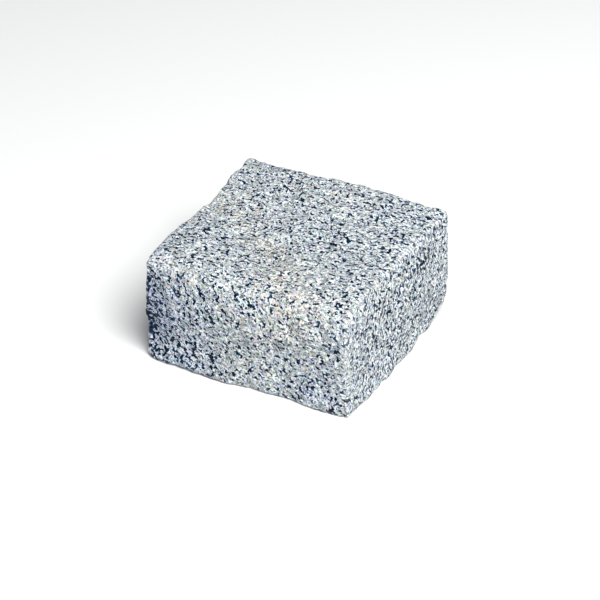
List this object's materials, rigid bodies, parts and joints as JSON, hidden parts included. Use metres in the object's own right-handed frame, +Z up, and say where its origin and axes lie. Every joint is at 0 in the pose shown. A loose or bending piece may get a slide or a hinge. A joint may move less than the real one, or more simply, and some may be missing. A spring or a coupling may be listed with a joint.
{
  "type": "granite sett",
  "caption": "Low, nearly square paving block of cropped grey granite with split faces, worn arrises and a flat bed.",
  "frame": {"origin": "middle of the block on the plane it rests on", "axes": "+Z up out of the head, +X along the front face to the right, +Y from the front to the back"},
  "size_m": [0.1072, 0.1012, 0.055],
  "materials": {
    "granite": "split grey granite: off-white feldspar, grey quartz and black mica grains of 1 to 2 mm, dull with small glints"
  },
  "bodies": {
    "root": {"sett": "granite"}
  },
  "joints": []
}
